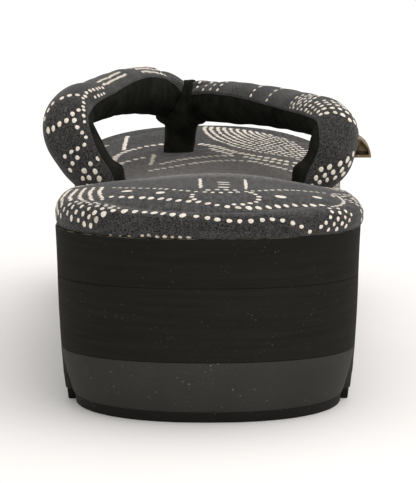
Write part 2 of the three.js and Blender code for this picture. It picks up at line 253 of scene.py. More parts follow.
# Plain weave: threads rise as half sine waves, over and under by turns, with uneven thread, flecks and lint
def makeWeave():
    inputs = dict(Cloth=None, Thread=0.05, Slub=0.5, Blotch=0.4)
    tree, given, out = nodeGroup("plainWeave", inputs, ("Height", "Tone", "Lint"))
    cloth = given["Cloth"]
    wander = addNode(tree, "ShaderNodeTexNoise", {"Vector": cloth, "Scale": 3.0, "Detail": 2.0})
    bent = vectorMath(tree, "MULTIPLY", wander.outputs["Color"], (0.06, 0.06, 0.0))
    moved = vectorMath(tree, "ADD", cloth, bent)
    u, v = (math(tree, "DIVIDE", axis(tree, moved, k), given["Thread"]) for k in (0, 1))
    turn = math(tree, "ADD", math(tree, "FLOOR", u), math(tree, "FLOOR", v))
    over = math(tree, "ABSOLUTE", math(tree, "MODULO", turn, 2.0))
    under = math(tree, "SUBTRACT", 1.0, over)
    warp, weft = (math(tree, "SINE", math(tree, "MULTIPLY", math(tree, "FRACT", a), np.pi)) for a in (u, v))
    thread = math(tree, "MULTIPLY_ADD", weft, under, math(tree, "MULTIPLY", warp, over))
    slubU = noise(tree, vectorMath(tree, "MULTIPLY", moved, (4.0, 40.0, 1.0)), 1.0, 2.0)
    slubV = noise(tree, vectorMath(tree, "MULTIPLY", moved, (40.0, 4.0, 1.0)), 1.0, 2.0)
    slub = math(tree, "MULTIPLY_ADD", slubV, under, math(tree, "MULTIPLY", slubU, over))
    swing = math(tree, "MULTIPLY", math(tree, "SUBTRACT", slub, 0.5), given["Slub"])
    fleck = math(tree, "SUBTRACT", noise(tree, moved, 145.0, 3.0, 0.7), 0.5)
    drawn = vectorMath(tree, "MULTIPLY", moved, (85.0, 24.0, 1.0))  # blotches are longer along the foot
    blotch = math(tree, "SUBTRACT", noise(tree, drawn, 1.0, 2.0), 0.5)
    uneven = math(tree, "MULTIPLY_ADD", swing, 1.8, 0.22)
    clouded = math(tree, "MULTIPLY_ADD", blotch, given["Blotch"], uneven)
    mottled = math(tree, "MULTIPLY_ADD", fleck, 3.1, clouded)
    tone = math(tree, "MULTIPLY_ADD", thread, 0.4, mottled)
    feed(tree, out["Height"], math(tree, "MULTIPLY_ADD", swing, 0.5, thread))
    feed(tree, out["Tone"], math(tree, "MINIMUM", math(tree, "MAXIMUM", tone, 0.0), 1.0))
    feed(tree, out["Lint"], ramp(tree, noise(tree, moved, 26.0, 4.0, 0.7), 0.58, 0.8))
    return tree


# Moulded grain with specks of dust: fine noise for the skin, and the middles of cells for specks and grit
def makeGrain():
    inputs = dict(Place=None, Fine=900.0, Specks=0.5)
    tree, given, out = nodeGroup("mouldedGrain", inputs, ("Height", "Tone", "Dust"))
    place = given["Place"]
    fine = noise(tree, place, given["Fine"], 4.0, 0.6)
    cloud = noise(tree, place, 28.0, 3.0, 0.55)
    large, small = (
        addNode(tree, "ShaderNodeTexVoronoi", {"Vector": place, "Scale": scale}).outputs["Distance"]
        for scale in (620.0, 1300.0)
    )
    rare = ramp(tree, noise(tree, place, 140.0, 2.0), 0.5, 0.7)
    speck = math(tree, "MULTIPLY", ramp(tree, large, 0.2, 0.05), rare)
    grit = math(tree, "MULTIPLY", ramp(tree, small, 0.2, 0.08), ramp(tree, cloud, 0.5, 0.75))
    dust = math(tree, "MAXIMUM", speck, math(tree, "MULTIPLY", grit, 0.35))
    feed(tree, out["Height"], math(tree, "MULTIPLY_ADD", cloud, 0.3, fine))
    feed(tree, out["Tone"], math(tree, "MULTIPLY_ADD", fine, 0.4, math(tree, "MULTIPLY", cloud, 0.6)))
    feed(tree, out["Dust"], math(tree, "MULTIPLY", dust, given["Specks"]))
    return tree


# Wear underfoot: a soft oval in plan, its edge broken up by noise
def makeWear():
    inputs = dict(Place=None, Middle=(0.0, 0.015, 0.0), Reach=(0.06, 0.075, 1.0))
    tree, given, out = nodeGroup("footWear", inputs, ["Worn"])
    away = vectorMath(tree, "SUBTRACT", given["Place"], given["Middle"])
    flat = vectorMath(tree, "MULTIPLY", away, (1.0, 1.0, 0.0))
    share = vectorMath(tree, "DIVIDE", flat, given["Reach"])
    far = addNode(tree, "ShaderNodeVectorMath", {0: share}, operation="LENGTH").outputs["Value"]
    ragged = math(tree, "MULTIPLY_ADD", noise(tree, given["Place"], 60.0, 4.0, 0.6), 0.5, far)
    feed(tree, out["Worn"], ramp(tree, ragged, 1.25, 0.6))
    return tree


weaveGroup = makeWeave()
grainGroup = makeGrain()
wearGroup = makeWear()


# Material with plain values on its shader's sockets: the material, its tree and those sockets
def material(name, **sockets):
    made = bpy.data.materials.new(name)
    made.use_nodes = True
    shader = made.node_tree.nodes["Principled BSDF"].inputs
    for key, value in sockets.items():
        shader[key.replace("_", " ")].default_value = value
    return made, made.node_tree, shader


def group(tree, kind, **values):
    return addNode(tree, "ShaderNodeGroup", values, node_tree=kind).outputs


def bump(tree, shader, height, distance, strength):
    links = {"Height": height, "Distance": distance, "Strength": strength}
    feed(tree, shader["Normal"], addNode(tree, "ShaderNodeBump", links).outputs[0])


# Dotted charcoal cotton: dark and light threads by the weave's tone, paler where lint stands up, soiled
# underfoot, and a painted highlight across the brow of the heel for the grazing light on its fuzz
cotton = dict(
    dark=(0.0045, 0.0044, 0.0045, 1), light=(0.086, 0.0833, 0.0814, 1), lint=(0.25, 0.243, 0.238, 1),
    soil=(0.2, 0.172, 0.155, 1), browHighlight=(0.4, 0.365, 0.35, 1), nap=(0.5, 0.495, 0.49, 1), thread=0.0055,
    # The pale brow colour is a painted highlight; browBack and browFront set where it rises and falls along y
    browBack=(-0.07, -0.054), browFront=(-0.032, -0.044),
)


def makeCotton(name, brightness, soilAndBrowHighlight, slub, sheen):
    made, tree, shader = material(
        name, Roughness=0.95, Specular_IOR_Level=0.08,
        Sheen_Weight=sheen, Sheen_Roughness=0.3, Sheen_Tint=cotton["nap"],
    )
    cloth = addNode(tree, "ShaderNodeUVMap", uv_map="cloth").outputs[0]
    # Upward faces get stronger blotches in the weave's tone: the cloth's own uneven tone, with its contrast
    # raised there as painted light and shade for the grazing light on the fuzz
    facing = axis(tree, addNode(tree, "ShaderNodeNewGeometry").outputs["Normal"], 2)
    blotch = ramp(tree, facing, 0.75, 0.95, 0.6 * slub, 3.0 * slub)
    weave = group(tree, weaveGroup, Cloth=cloth, Thread=cotton["thread"], Slub=slub, Blotch=blotch)
    tone = weave["Tone"]
    ground = mixColour(tree, tone, dim(cotton["dark"], brightness), dim(cotton["light"], brightness))
    linted = mixColour(tree, math(tree, "MULTIPLY", weave["Lint"], 0.22), ground, cotton["lint"])
    place = objectPlace(tree)
    worn = group(tree, wearGroup, Place=place)["Worn"]
    soil = mixColour(tree, tone, dim(cotton["soil"], 0.45), cotton["soil"])
    soily = mixColour(tree, math(tree, "MULTIPLY", worn, soilAndBrowHighlight), linted, soil)
    # Painted highlight: a pale band across the brow of the heel stands in for grazing light on the crest's
    # fuzz
    along = axis(tree, place, 1)
    front = ramp(tree, along, *cotton["browFront"], 0.0, soilAndBrowHighlight)
    browHighlightMask = math(tree, "MULTIPLY", ramp(tree, along, *cotton["browBack"]), front)
    browHighlight = mixColour(tree, tone, dim(cotton["browHighlight"], 0.3), cotton["browHighlight"])
    feed(tree, shader["Base Color"], mixColour(tree, browHighlightMask, soily, browHighlight))
    bump(tree, shader, weave["Height"], 0.00012, 0.8)
    return made


# The fourth setting weights both the real soil underfoot and the painted highlight on the brow
cottonFootbed = makeCotton("dottedCotton", brightness=0.94, soilAndBrowHighlight=0.5, slub=0.6, sheen=0.42)
cottonStrap = makeCotton("dottedCottonStrap", brightness=0.9, soilAndBrowHighlight=0.0, slub=0.25, sheen=0.52)

# Cream ink in the same cloth: mottled, and worn dots let the ground through
ink = dict(
    cream=(0.86, 0.78, 0.68, 1), shade=(0.62, 0.55, 0.47, 1), faded=(0.24, 0.2, 0.15, 1),
    trodden=(0.2, 0.165, 0.135, 1), underfoot=(0.064, 0.058, 0.0, 0.45),  # heights, then how much is trodden
)


def makeInk():
    made, tree, shader = material("creamInk", Roughness=0.9, Specular_IOR_Level=0.2)
    place = objectPlace(tree)
    mottle = noise(tree, place, 1500.0, 3.0, 0.6)
    wear = math(tree, "MULTIPLY", attribute(tree, "worn"), ramp(tree, mottle, 0.35, 0.65, 0.4, 1.0))
    cream = mixColour(tree, ramp(tree, mottle, 0.3, 0.7), ink["cream"], ink["shade"])
    faded = mixColour(tree, wear, cream, ink["faded"])
    low = ramp(tree, axis(tree, place, 2), *ink["underfoot"])
    trodden = math(tree, "MULTIPLY", group(tree, wearGroup, Place=place)["Worn"], low)
    feed(tree, shader["Base Color"], mixColour(tree, trodden, faded, ink["trodden"]))
    bump(tree, shader, mottle, 0.00008, 0.6)
    return made


inkMaterial = makeInk()

# Black velvet: short pile that drinks the light, a little paler where it is brushed the other way
velvet = dict(deep=(0.0052, 0.0054, 0.004, 1), brushed=(0.016, 0.0163, 0.0125, 1))


def makeVelvet():
    made, tree, shader = material("blackVelvet", Roughness=1.0, Specular_IOR_Level=0.05)
    place = objectPlace(tree)
    nap = ramp(tree, noise(tree, place, 160.0, 3.0, 0.6), 0.35, 0.7)
    feed(tree, shader["Base Color"], mixColour(tree, nap, velvet["deep"], velvet["brushed"]))
    bump(tree, shader, noise(tree, place, 2600.0, 2.0, 0.6), 0.0002, 0.7)
    return made


velvetMaterial = makeVelvet()

# Buffed black foam: faint level buffing marks, cloudy tone, dust caught in the pores, dried glue along a hem
foamColours = dict(
    low=(0.0078, 0.0077, 0.0061, 1), high=(0.0170, 0.0167, 0.0134, 1), dust=(0.3, 0.28, 0.24, 1),
    glue=(0.2, 0.16, 0.105, 1),
)


def makeFoam(name, brightness):
    made, tree, shader = material(name, Specular_IOR_Level=0.07)
    place = objectPlace(tree)
    grain = group(tree, grainGroup, Place=place, Fine=1100.0, Specks=0.2)
    buffing = noise(tree, vectorMath(tree, "MULTIPLY", place, (24.0, 24.0, 620.0)), 1.0, 3.0, 0.6)
    tone = math(tree, "MULTIPLY_ADD", buffing, 0.45, math(tree, "MULTIPLY", grain["Tone"], 0.55))
    low, high = (dim(foamColours[key], brightness) for key in ("low", "high"))
    ground = mixColour(tree, ramp(tree, tone, 0.3, 0.7), low, high)
    dusty = mixColour(tree, grain["Dust"], ground, foamColours["dust"])
    clotted = ramp(tree, noise(tree, place, 210.0, 3.0, 0.6), 0.42, 0.62)
    glue = math(tree, "MULTIPLY", attribute(tree, "hem"), clotted)
    feed(tree, shader["Base Color"], mixColour(tree, glue, dusty, foamColours["glue"]))
    feed(tree, shader["Roughness"], ramp(tree, grain["Tone"], 0.3, 0.7, 0.72, 0.9))
    bump(tree, shader, math(tree, "MULTIPLY_ADD", buffing, 0.6, grain["Height"]), 0.00012, 0.5)
    return made


foamWedge = makeFoam("foamWedge", 1.0)
foamDeck = makeFoam("foamDeck", 0.92)

# Grey moulded rubber, dusty, with a near-black band near the floor: darker tread rubber, and painted shade
# under the ledge and along the floor
rubber = dict(
    low=(0.021, 0.0200, 0.0172, 1), high=(0.040, 0.0378, 0.0330, 1), treadAndShade=(0.0075, 0.007, 0.006, 1),
    dust=(0.34, 0.32, 0.28, 1), bandTop=(0.0031, 0.0035),
)


def makeRubber():
    made, tree, shader = material("greyRubber", Specular_IOR_Level=0.15)
    place = objectPlace(tree)
    grain = group(tree, grainGroup, Place=place, Fine=1400.0, Specks=0.6)
    upper = mixColour(tree, ramp(tree, grain["Tone"], 0.3, 0.7), rubber["low"], rubber["high"])
    # Painted shade: below bandTop the rubber turns near-black, partly the tread's own darker rubber and
    # partly the shadow under the ledge
    ground = mixColour(tree, ramp(tree, axis(tree, place, 2), *rubber["bandTop"]), rubber["treadAndShade"], upper)
    feed(tree, shader["Base Color"], mixColour(tree, grain["Dust"], ground, rubber["dust"]))
    feed(tree, shader["Roughness"], ramp(tree, grain["Tone"], 0.3, 0.7, 0.6, 0.82))
    bump(tree, shader, grain["Height"], 0.00015, 0.6)
    return made


rubberMaterial = makeRubber()

# Aged brass: dark brown film, rubbed golden where the metal is smooth
brass = dict(film=(0.1, 0.072, 0.042, 1), bare=(0.28, 0.21, 0.128, 1))


def makeBrass():
    made, tree, shader = material("agedBrass", Metallic=0.85)
    place = objectPlace(tree)
    patchy = noise(tree, place, 420.0, 4.0, 0.6)
    shade = mixColour(tree, ramp(tree, patchy, 0.35, 0.65), brass["film"], brass["bare"])
    feed(tree, shader["Base Color"], shade)
    feed(tree, shader["Roughness"], ramp(tree, patchy, 0.3, 0.7, 0.5, 0.34))
    bump(tree, shader, noise(tree, place, 1900.0), 0.00006, 0.5)
    return made


brassMaterial = makeBrass()
print("materials made")


# Finishes, body and CAD nodes of a piece
def finishPiece(thing, slotName, finishes, *nodes, pad=None):
    for finish in finishes:
        thing.data.materials.append(finish)
    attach(thing, "root")
    if nodes:
        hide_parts(*nodes)


# Outsole: rubber with a bevelled heel lug, a V notch across and a set-back tread band
outsole = dict(
    notchY=40.0, notchMouth=5.0, notchThroat=1.2, notchHeight=8.5, fullWall=12.0, edge=0.4, topInset=2.5,
    across=20, crease=38.0,
    ledge=[(-0.1, 0.6), (0.1, 0.2), (0.5, 0.0)],  # rise and inset of the rows that round the band's ledge
    wallZ=[0.0, 3.0, 3.4, 9.0, 14.0],
    heelInset=[6.9, 6.6, 6.0, 4.5, 3.3],
    frontInset=[4.6, 4.3, 3.8, 3.2, 2.8],
)


# Wall rows are (height, inset at the heel, inset ahead of the notch), held below the top where the sole is
# thin; a rounded edge takes three rows
def makeOutsole():
    o = outsole
    half, throat = o["notchMouth"] / 2, o["notchThroat"] / 2
    top = layerHeight("outsole")
    cut = lambda y: o["notchHeight"] * np.clip((half - np.abs(y - o["notchY"])) / (half - throat), 0, 1)
    floor = lambda y: underside(y) + cut(y)
    ahead = lambda y: ease(o["notchY"] - throat, o["notchY"] + throat, y)
    e = o["edge"]
    middle = edgeMiddle * e
    foot, band, ledge, *upper = np.stack([o["wallZ"], o["heelInset"], o["frontInset"]], -1)
    steps = [foot + (rise, inset, inset) for rise, inset in ((0, e), (middle, middle), (e, 0))]
    steps += [band, *(ledge + (rise, inset, inset) for rise, inset in o["ledge"]), *upper]
    share = lambda y: np.minimum(1, (top(y) - underside(y)) / o["fullWall"])
    rows = []
    for z, heel, front in steps:
        inset = lambda y, heel=heel, front=front: heel + (front - heel) * ahead(y)
        height = lambda y, z=z: np.minimum(underside(y) + z * share(y), top(y) - 2 * e)
        rows.append((inset, lambda y, height=height: np.maximum(height(y), floor(y))))
    brink = o["topInset"]
    rows.append((lambda y: brink, lambda y: top(y) - e))
    rows.append((lambda y: brink + middle, lambda y: top(y) - middle))
    rows.append((lambda y: brink + e, top))
    marks = [o["notchY"] + d for d in (-half, -throat, throat, half)]
    y = stationsAlong(sole["stations"], marks)
    grid = layerGrid(y, rows, o["across"], lambda x, yy: top(yy), lambda x, yy: floor(yy), sole["innerFlush"])
    made = meshObject("outsole_rubber", grid, gridFaces(*grid.shape[:2]))
    weld(made)
    made.data.set_sharp_from_angle(angle=np.radians(o["crease"]))
    finishPiece(made, "outsole_rubber", [rubberMaterial], "outsole")


makeOutsole()

# Foam layers: walls lean in towards the floor, edges are rounded, and hand buffing leaves them uneven
foam = dict(
    edge=0.16, wallRows=9, hemRow=0.965, across=12, waver=0.18, wedgeInset=2.5, seamInset=1.5, deckInset=0.9,
)


def makeFoamLayer(name, node, below, belowInset, layer, topInset, finish, phase):
    gap, e, across = sole["seam"], foam["edge"], foam["across"]
    base, top = layerHeight(below), layerHeight(layer)
    waver = lambda y: foam["waver"] * (np.sin(y * 0.11 + phase) + 0.6 * np.sin(y * 0.27 + 2 * phase)) * 0.5
    middle = edgeMiddle * e
    rows = [(lambda y: belowInset + e, lambda y: base(y) + gap),
            (lambda y: belowInset + middle, lambda y: base(y) + gap + middle)]
    for t in [*np.linspace(0, 1, foam["wallRows"])[:-1], foam["hemRow"], 1.0]:
        bow = np.sin(np.pi * t)
        inset = lambda y, t=t, bow=bow: belowInset + (topInset - belowInset) * t + waver(y) * bow
        rows.append((inset, lambda y, t=t: base(y) + gap + e + (top(y) - base(y) - gap - 2 * e) * t))
    rows.append((lambda y: topInset + middle, lambda y: top(y) - middle))
    rows.append((lambda y: topInset + e, top))
    y = stationsAlong(sole["stations"])
    grid = layerGrid(y, rows, across, lambda x, yy: top(yy), lambda x, yy: base(yy) + gap, sole["innerFlush"])
    made = meshObject(name, grid, gridFaces(*grid.shape[:2]))
    hem = np.zeros(grid.shape[:2], np.float32)
    if layer == "deck":  # glue shows on the two top rows of each wall
        hem[:, [len(rows) - 2, len(rows) - 1, len(rows) + across, len(rows) + across + 1]] = 1.0
    made.data.attributes.new("hem", "FLOAT", "POINT").data.foreach_set("value", hem.ravel())
    weld(made)
    finishPiece(made, "sole_foam", [finish], node)


makeFoamLayer(
    "wedge_foam", "midsole_wedge", below="outsole", belowInset=foam["wedgeInset"],
    layer="wedge", topInset=foam["seamInset"], finish=foamWedge, phase=0.4,
)
makeFoamLayer(
    "deck_foam", "midsole_deck", below="wedge", belowInset=foam["seamInset"],
    layer="deck", topInset=foam["deckInset"], finish=foamDeck, phase=1.9,
)
print("sole made")

# Footbed: a crowned pad whose cotton is rolled over the edge and tucked on to the deck
footbed = dict(
    rim=7.65, crown=4.7, crownMargin=34.0, hem=0.2, fray=1.2, lumps=0.22, pucker=0.3, puckers=9,
    shoulder=dict(rise=1.8, start=16.0, full=42.0, fadeStart=55.0, fadeEnd=115.0),
    clothRows=22, stations=230, across=70,
    rollInset=[1.0, 0.4, 0.0, 0.2, 1.2, 3.0, 6.0],
    rollRise=[0.0, 0.12, 0.38, 0.62, 0.84, 0.95, 1.0],
    holes=dict(
        x=[31.1, -31.5, -10.0], y=[95.8, 95.8, 200.0],
        wide=[7.2, 7.4, 5.2], deep=[5.4, 3.2, 0.3], reach=[7.0, 7.0, 6.0],
    ),
)


# The roll's profile as a smooth curve: how far in and how high, at each millimetre of cloth from the hem
def rollTable():
    knots = np.arange(len(footbed["rollInset"]))
    t = np.linspace(0, knots[-1], 400)
    inset = follow(knots, footbed["rollInset"], t)
    rise = follow(knots, footbed["rollRise"], t) * footbed["rim"]
    length = np.concatenate([[0], np.cumsum(np.hypot(np.diff(inset), np.diff(rise)))])
    return length, inset, rise


rollLength, rollInset, rollRise = rollTable()
rollEnd = rollLength[-1]
padFloor = lambda y: layerHeight("deck")(y) + sole["seam"]


# The inner shoulder stands higher at the heel: an eased step across the pad that fades out by the waist
def shoulder(x, y):
    h = footbed["shoulder"]
    return h["rise"] * ease(h["start"], h["full"], -x) * (1 - ease(h["fadeStart"], h["fadeEnd"], y))


# Top of the pad: the rim's height plus a crown that fades to the rim, soft lumps, and a puckered dimple
# round each hole
def padTop(x, y):
    side = np.where(x >= 0, halfWidth("outer", y), halfWidth("inner", y)) - rollInset[-1]
    w = x / np.maximum(side, 1.0)
    m = footbed["crownMargin"]
    start = rollInset[-1]
    e = np.maximum((start + m - y) / m, (y - (sole["length"] - start - m)) / m).clip(0, 1)
    crown = footbed["crown"] * np.clip(1 - w * w - e * e, 0, 1)
    flat = np.clip(1 - w * w, 0, 1)
    z = padFloor(y) + footbed["rim"] + crown + shoulder(x, y)
    z = z + footbed["lumps"] * np.sin(x * 0.13 + 0.6) * np.sin(y * 0.085 + 1.1) * flat
    h = footbed["holes"]
    for hx, hy, wide, deep, reach in zip(h["x"], h["y"], h["wide"], h["deep"], h["reach"]):
        away = np.hypot(x - hx, y - hy)
        turn = np.arctan2(y - hy, x - hx)
        near = np.exp(-np.clip(away - wide, 0, None) ** 2 / (2 * (0.5 * reach) ** 2))
        z = z - deep * near * flat ** 0.3
        z = z - footbed["pucker"] * np.cos(footbed["puckers"] * turn + hx) * near * (1 - near) * 4 * flat
    return z


# Dense outline by arc length from the heel's middle, positive towards the outer side
def outlineTable():
    y = stationsAlong(1500)
    points, inward = rim(y)
    loop = np.concatenate([points[::-1, 1], points[1:, 0]])
    normal = np.concatenate([inward[::-1, 1], inward[1:, 0]])
    length = np.concatenate([[0], np.cumsum(np.linalg.norm(np.diff(loop, axis=0), axis=1))])
    return length - length[len(y) - 1], loop, normal


outlineLength, outlinePoint, outlineNormal = outlineTable()


# Place on the cloth by s, round the outline, and p, up from the hem and on over the top
def edgeChart(s, p):
    at = [np.interp(s, outlineLength, outlinePoint[:, k]) for k in (0, 1)]
    inward = [np.interp(s, outlineLength, outlineNormal[:, k]) for k in (0, 1)]
    inset = np.where(p <= rollEnd, np.interp(p, rollLength, rollInset), rollInset[-1] + p - rollEnd)
    x, y = at[0] + inward[0] * inset, at[1] + inward[1] * inset
    rise = np.interp(p, rollLength, rollRise)
    onRoll = padFloor(y) + rise + shoulder(x, y) * rise / footbed["rim"]
    return np.stack([x, y, np.where(p <= rollEnd, onRoll, padTop(x, y))], -1)


def topChart(x, y):
    return np.stack([x, y, padTop(x, y)], -1)


# Rows climb the roll from the hem, the top is the pad's, and the shoulder lifts each wall row by its share
def makeFootbed():
    rows = []
    cloth = np.linspace(0, rollEnd, footbed["clothRows"])
    for p in cloth:
        inset, rise = np.interp(p, rollLength, rollInset), np.interp(p, rollLength, rollRise)
        fray = footbed["hem"] * np.exp(-p / footbed["fray"])
        height = lambda y, rise=rise, fray=fray: padFloor(y) + rise + fray * 0.4 * (1 + np.sin(y * 1.9))
        rows.append((lambda y, inset=inset: inset + 0 * y, height))
    y, across = stationsAlong(footbed["stations"]), footbed["across"]
    grid = layerGrid(y, rows, across, padTop, lambda x, yy: padFloor(yy))
    points, inward = rim(y)
    spread = (rollEnd - rollInset[-1] - cloth)[None, :, None, None]
    wall = points[:, None] - inward[:, None] * spread
    outer, inner = wall[:, :, 0], wall[:, :, 1]
    r = len(cloth)
    share = np.interp(cloth, rollLength, rollRise) / footbed["rim"]
    for wall, part in ((slice(0, r), share), (slice(r + across, 2 * r + across), share[::-1])):
        grid[:, wall, 2] += shoulder(grid[:, wall, 0], grid[:, wall, 1]) * part
    uv = np.concatenate([outer, grid[:, r:r + across, :2], inner[:, ::-1], grid[:, 2 * r + across:, :2]], 1)
    made = meshObject("footbed_cover", grid, gridFaces(*grid.shape[:2]))
    clothMap(made, uv)
    weld(made)
    finishPiece(made, "dotted_cotton", [cottonFootbed], "footbed", pad=0.9)


makeFootbed()
print("footbed made")

# Strap: a padded roll along this centre line; wide and thick are half sizes, face is where the print looks
strapRows = np.array([
    # x, y, z, wide, thick, faceX, faceY, faceZ
    (30.3, 95.9, 53.3, 6.0, 6.0, 0.5, -0.86, 0.1),
    (33.0, 97.0, 59.4, 6.3, 6.3, 0.5, -0.86, 0.15),
    (38.9, 100.6, 67.2, 7.9, 6.9, 0.48, -0.8, 0.35),
    (40.6, 107.0, 73.6, 8.1, 7.0, 0.4, -0.6, 0.7),
    (38.4, 118.0, 76.6, 8.1, 6.9, 0.2, -0.15, 0.97),
    (31.5, 138.0, 76.0, 7.8, 6.8, 0.2, 0.12, 0.97),
    (23.0, 157.0, 75.1, 7.7, 6.9, 0.3, 0.18, 0.94),
    (12.9, 174.0, 74.0, 7.7, 7.1, 0.4, 0.3, 0.87),
    (3.6, 189.2, 72.5, 7.2, 7.2, 0.35, 0.4, 0.84),
    (-2.4, 195.4, 72.0, 6.2, 7.2, 0.15, 0.4, 0.9),
    (-8.6, 197.0, 71.8, 5.0, 6.6, 0.0, 0.4, 0.92),
    (-14.8, 194.8, 74.2, 6.4, 8.0, -0.2, 0.4, 0.89),
    (-20.2, 186.8, 76.7, 7.7, 8.5, -0.35, 0.4, 0.84),
    (-26.2, 170.0, 78.9, 7.9, 8.0, -0.45, 0.3, 0.84),
    (-32.0, 153.0, 80.3, 7.9, 7.3, -0.4, 0.15, 0.9),
    (-37.3, 136.0, 80.6, 8.0, 7.1, -0.3, 0.05, 0.95),
    (-43.9, 117.0, 80.1, 8.5, 7.2, -0.2, -0.2, 0.96),
    (-45.4, 107.0, 75.6, 8.7, 7.2, -0.35, -0.65, 0.67),
    (-41.0, 100.8, 67.2, 8.4, 7.0, -0.4, -0.85, 0.3),
    (-34.0, 97.0, 59.4, 6.9, 6.4, -0.45, -0.89, 0.15),
    (-30.6, 95.9, 53.3, 6.3, 6.0, -0.45, -0.89, 0.1),
])
strap = dict(
    meanRadius=7.6, along=460, coverColumns=46, liningColumns=20, seam=0.25, liningSunk=0.25,
    gather=0.28, gathers=9, gatherAt=6.0, gatherSpan=7.0, lumps=0.16, ripples=0.1,
    ridgeAt=5.0, ridgeSpan=4.0, ridgeShare=0.7,  # hem: degrees in from the seam, span, share of its depth
    coverSeam=2.2, liningSeam=6.0, liningShare=0.6,  # the seam's span in degrees, in cover and lining
    liningArc=150.0, sinkSpan=12.0,  # degrees of lining, and over how many it sinks
    edgeRow=[0, 1.5, 3.2, 4.5, 7, 9, 10, 11, 13, 15, 16.3, 18, 20],
    innerEdge=[46, 52, 74, 90, 94, 88, 84, 82, 82, 84, 78, 58, 46], outerEdge=100.0,
)


# Curve through points at even steps of the table: cubic pieces with knots spaced by the root of the distance
def throughPoints(points, count):
    ends = np.concatenate([[2 * points[0] - points[1]], points, [2 * points[-1] - points[-2]]])
    u = np.linspace(0, len(points) - 1, count)
    k = np.minimum(u.astype(int), len(points) - 2)
    t = (u - k)[:, None]
    p0, p1, p2, p3 = (ends[k + i] for i in range(4))
    steps = (p1 - p0, p2 - p1, p3 - p2)
    d0, d1, d2 = (np.sqrt(np.linalg.norm(step, axis=1, keepdims=True)) + 1e-9 for step in steps)
    m1 = ((p1 - p0) / d0 - (p2 - p0) / (d0 + d1) + (p2 - p1) / d1) * d1
    m2 = ((p2 - p1) / d1 - (p3 - p1) / (d1 + d2) + (p3 - p2) / d2) * d1
    return p1 + m1 * t + (3 * (p2 - p1) - 2 * m1 - m2) * t ** 2 + (2 * (p1 - p2) + m1 + m2) * t ** 3


# Centre line, frame and half sizes by length from the outer hole
def strapTable():
    count = 4000
    centre = throughPoints(strapRows[:, :3], count)
    rows = np.linspace(0, len(strapRows) - 1, count)
    knots = np.arange(len(strapRows))
    size, face = (np.stack([follow(knots, strapRows[:, c], rows) for c in columns], -1)
                  for columns in ((3, 4), (5, 6, 7)))
    along = np.gradient(centre, axis=0)
    along /= np.linalg.norm(along, axis=1, keepdims=True)
    up = face - along * np.sum(face * along, axis=1, keepdims=True)
    up /= np.linalg.norm(up, axis=1, keepdims=True)
    length = np.concatenate([[0], np.cumsum(np.linalg.norm(np.diff(centre, axis=0), axis=1))])
    return length, np.concatenate([centre, np.cross(along, up), up, size], 1), rows


strapLength, strapFrame, strapRowAt = strapTable()
strapEnd = strapLength[-1]
rowLength = lambda row: np.interp(row, strapRowAt, strapLength)
apex = rowLength(10)
print("strap path laid out,", round(float(strapEnd)), "mm long")

# Creases as soft troughs: where along the strap, towards which side, how wide and how deep
creases = [
    # length, angle, span along, span round, depth; the last two flare the lining where it meets the pad
    (rowLength(3.0), -150.0, 3.5, 60.0, 0.9),
    (rowLength(2.4), 60.0, 4.0, 40.0, 0.35),
    (rowLength(17.0), -150.0, 3.5, 60.0, 0.9),
    (rowLength(17.7), 60.0, 4.0, 40.0, 0.35),
    (rowLength(16.2), -70.0, 5.0, 35.0, 0.5),
    (rowLength(3.6), -70.0, 5.0, 35.0, 0.5),
    (rowLength(8.6), 10.0, 2.2, 70.0, 0.35),
    (rowLength(11.5), -20.0, 2.4, 60.0, 0.5),
    (rowLength(12.2), -40.0, 2.6, 50.0, 0.4),
    (7.6, -100.0, 1.9, 45.0, -1.4),
    (strapEnd - 7.6, -100.0, 1.9, 45.0, -1.4),
]


# How far the cloth stands off the plain roll: creases, gathers towards the post, soft lumps of the filling
def strapRelief(s, angle):
    d = np.zeros(np.broadcast(s, angle).shape)
    for at, turn, spanAlong, spanRound, depth in creases:
        off = (np.degrees(angle) - turn + 180) % 360 - 180
        d = d - depth * np.exp(-((s - at) / spanAlong) ** 2 - (off / spanRound) ** 2)
    nearPost = np.exp(-((np.abs(s - apex) - strap["gatherAt"]) / strap["gatherSpan"]) ** 2)
    d = d + strap["gather"] * nearPost * np.cos(strap["gathers"] * angle + 0.25 * s)
    d = d + strap["lumps"] * np.sin(s * 0.21 + 1.3) * np.sin(2 * angle + s * 0.05)
    return d + strap["ripples"] * np.sin(s * 0.47 + angle)


# Place on the strap: centre + across times sine + up times cosine of the angle, moved out by the relief
def strapPoint(s, angle, out=0.0):
    f = [np.interp(s, strapLength, strapFrame[:, k]) for k in range(11)]
    centre, across, up = (np.stack(f[a:a + 3], -1) for a in (0, 3, 6))
    sine, cosine = np.sin(angle), np.cos(angle)
    grow = strapRelief(s, angle) + out
    return centre + across * ((f[9] + grow) * sine)[..., None] + up * ((f[10] + grow) * cosine)[..., None]


def strapChart(s, g):
    return strapPoint(s, g / strap["meanRadius"])


# The cover's two edges, round from the middle of the print; the lining shows most on the legs
def coverEdges(s):
    inner = follow(strap["edgeRow"], strap["innerEdge"], np.interp(s, strapLength, strapRowAt))
    return -np.radians(inner), np.radians(strap["outerEdge"] + 0 * s)


